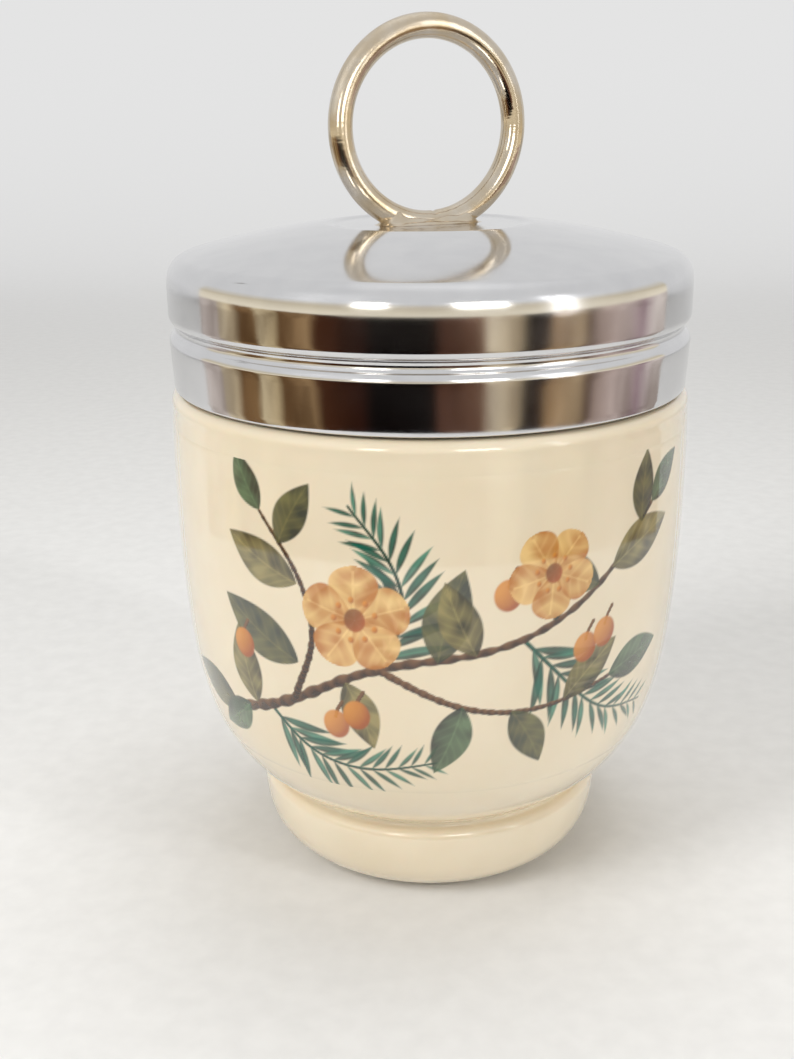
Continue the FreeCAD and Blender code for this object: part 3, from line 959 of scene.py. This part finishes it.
def sweep_material():
    """Matt white paper: pale to the camera and in the metal, and it takes the shadow."""
    material, tree, shader = new_material("backdrop_paper", Roughness=0.9)
    place = node(tree, "ShaderNodeTexCoord").outputs["Object"]
    tooth = noise(tree, place, 300.0)
    tint = ramp(tree, tooth, [(0.3, srgb("#E2E2E1")), (0.7, srgb("#E7E7E6"))])
    tree.links.new(tint, shader.inputs["Base Color"])
    distance = node(tree, "ShaderNodeSeparateXYZ", {0: place}).outputs["Y"]
    far = mapped(
        tree, distance, interpolation_type="SMOOTHSTEP", From_Min=0.10, From_Max=0.85)
    path = node(tree, "ShaderNodeLightPath")
    seen = node(tree, "ShaderNodeMath", {
        0: path.outputs["Is Camera Ray"], 1: path.outputs["Is Glossy Ray"]}, operation="MAXIMUM")
    share = node(tree, "ShaderNodeMath", {
        0: seen.outputs[0], 1: far}, operation="MULTIPLY")
    glow = node(tree, "ShaderNodeEmission")
    glow.inputs["Color"].default_value = (*srgb("#E4E4E4"), 1)
    blend = node(tree, "ShaderNodeMixShader", {
        0: share.outputs[0], 1: shader.outputs[0], 2: glow.outputs[0]})
    tree.links.new(blend.outputs[0], tree.nodes["Material Output"].inputs["Surface"])
    return material


def card_surface(name):
    """Cards round the front, x = r cos a and y = r sin a, and a flat roof from their top to the back."""
    angle = TAU * np.linspace(-0.535, 0.05, 60)
    x = CARD_RADIUS * np.cos(angle)
    y = CARD_RADIUS * np.sin(angle)
    level = np.ones(len(angle))
    return sheet_object(name, np.stack([
        np.stack([x, y, CARD_BOTTOM * level], -1), np.stack([x, y, CARD_TOP * level], -1),
        np.stack([x, CARD_ROOF_BACK * level, CARD_TOP * level], -1)]))


def card_material():
    """Glowing cards seen only in the metal and the glaze: painted reflections, warm and dark tones side
    by side.

    Above them the cards and the roof are pale, with two bright windows that paint highlights.
    """
    material = bpy.data.materials.new("studio_cards")
    material.use_nodes = True
    tree = material.node_tree
    tree.nodes.remove(tree.nodes["Principled BSDF"])
    place = node(tree, "ShaderNodeTexCoord").outputs["Object"]
    bearing = node(tree, "ShaderNodeTexGradient", {"Vector": place}, gradient_type="RADIAL")
    blur = noise(tree, place, 28.0, 4.0)
    shift = mapped(tree, blur, To_Min=-0.014, To_Max=0.014)
    where = node(tree, "ShaderNodeMath", {
        0: bearing.outputs["Fac"], 1: shift}, operation="ADD").outputs[0]
    tones = ramp(tree, where, [(at, srgb(code)) for at, code in CARD_TONES])
    # Noise mottles the painted reflection tones
    reflection_mottle = ramp(tree, blur, [(0.38, (0.5, 0.47, 0.45)), (0.6, (1, 1, 1))])
    cards = mixed(tree, 1.0, tones, reflection_mottle, "MULTIPLY")
    height = node(tree, "ShaderNodeSeparateXYZ", {0: place}).outputs["Z"]
    rise = mapped(tree, height, From_Min=CARD_DARK_TOP * MM, From_Max=CARD_TOP * MM)
    dark, lit = (0, 0, 0), (1, 1, 1)
    strip = ramp(tree, rise, [(0.0, dark), (0.02, lit)])
    pale = ramp(tree, rise, [
        (0.02, srgb("#FFF4DC")), (0.15, srgb("#D9CDB4")), (0.4, srgb("#E4E4E4"))])
    # Two bright windows in the pale part paint highlights on the metal and the glaze
    beside = ramp(tree, where, [
        (0.17, dark), (0.18, lit), (0.2, lit), (0.21, dark),
        (0.275, dark), (0.285, lit), (0.325, lit), (0.335, dark)])
    above = ramp(tree, rise, [(0.15, dark), (0.2, lit), (0.45, lit), (0.5, dark)])
    windows = mixed(tree, 1.0, beside, above, "MULTIPLY")
    glow = node(tree, "ShaderNodeEmission", {
        "Color": mixed(tree, windows, mixed(tree, strip, cards, pale), (6.0, 5.8, 5.4))})
    tree.links.new(glow.outputs[0], tree.nodes["Material Output"].inputs["Surface"])
    return material


class CODDLER_OT_stage(bpy.types.Operator):
    """Make the pale sweep, the soft lights, the world and the camera"""

    bl_idname = "coddler.stage"
    bl_label = "Stage"

    def execute(self, context):
        scene = context.scene
        level = scene.coddler_sizes.exposure_level
        sweep = sweep_surface("paper_sweep")
        sweep.data.materials.append(sweep_material())
        cards = card_surface("studio_cards")
        cards.data.materials.append(card_material())
        # Only glossy rays meet the cards
        cards.visible_camera = False
        cards.visible_diffuse = False
        cards.visible_transmission = False
        cards.visible_shadow = False
        aim = (0, 0, 0.05)
        area_light("left_box", (-0.42, -0.32, 0.40), aim, (0.22, 0.36), 2.2 * level)
        area_light("right_box", (0.50, -0.34, 0.24), aim, (0.05, 0.40), 1.3 * level)
        area_light("top_box", (0.05, 0.10, 0.62), aim, (0.40, 0.30), 1.5 * level)
        world = bpy.data.worlds.new("studio")
        world.use_nodes = True
        background = world.node_tree.nodes["Background"]
        background.inputs["Color"].default_value = (*srgb("#F2EFEA"), 1)
        background.inputs["Strength"].default_value = 0.42 * level
        scene.world = world
        scene.view_settings.view_transform = "Standard"
        make_camera(scene)
        return {"FINISHED"}


def make_camera(scene):
    """The photograph's viewpoint: a wide lens close by, looking 18.5 degrees down."""
    focal_pixels, frame_height, sensor = 1299.0, 1059.0, 36.0
    place = Vector((0, -0.1674, 0.09955))
    pitch, yaw, roll = math.radians(18.5), math.radians(-1.485), math.radians(-0.5)
    ahead = Vector((math.sin(yaw) * math.cos(pitch), math.cos(yaw) * math.cos(pitch),
                    -math.sin(pitch)))
    level = Vector((math.cos(yaw), -math.sin(yaw), 0))
    upward = level.cross(ahead)
    right = math.cos(roll) * level + math.sin(roll) * upward
    top = -math.sin(roll) * level + math.cos(roll) * upward
    data = bpy.data.cameras.new("camera")
    data.sensor_width = sensor
    data.sensor_height = sensor
    data.lens = focal_pixels * sensor / frame_height
    data.clip_start = 0.005
    camera = bpy.data.objects.new("camera", data)
    turn = Matrix((right, top, -ahead)).transposed()
    camera.matrix_world = Matrix.Translation(place) @ turn.to_4x4()
    scene.collection.objects.link(camera)
    scene.camera = camera


class CODDLER_PT_panel(bpy.types.Panel):
    """Lists the coddler's sizes, colours and pieces"""

    bl_idname = "CODDLER_PT_panel"
    bl_label = "Egg coddler"
    bl_space_type = "VIEW_3D"
    bl_region_type = "UI"
    bl_category = "Coddler"

    def draw(self, context):
        for group in (context.scene.coddler_sizes, context.scene.coddler_colours):
            box = self.layout.box()
            for key in group.__annotations__:
                box.prop(group, key)
        for operator in OPERATORS:
            self.layout.operator(operator.bl_idname)


OPERATORS = (CODDLER_OT_cup, CODDLER_OT_print, CODDLER_OT_lid, CODDLER_OT_ring, CODDLER_OT_stage)
CLASSES = (CoddlerColours, CoddlerSizes) + OPERATORS + (CODDLER_PT_panel,)


def register():
    """Adds the classes, and the colours and sizes to the scene."""
    for item in CLASSES:
        bpy.utils.register_class(item)
    bpy.types.Scene.coddler_colours = bpy.props.PointerProperty(type=CoddlerColours)
    bpy.types.Scene.coddler_sizes = bpy.props.PointerProperty(type=CoddlerSizes)


def unregister():
    """Takes out what register() added."""
    del bpy.types.Scene.coddler_sizes
    del bpy.types.Scene.coddler_colours
    for item in reversed(CLASSES):
        bpy.utils.unregister_class(item)


def main():
    register()
    bpy.ops.coddler.cup()
    bpy.ops.coddler.print()
    bpy.ops.coddler.lid()
    bpy.ops.coddler.ring()
    bpy.ops.coddler.stage()


if __name__ == "__main__":
    main()
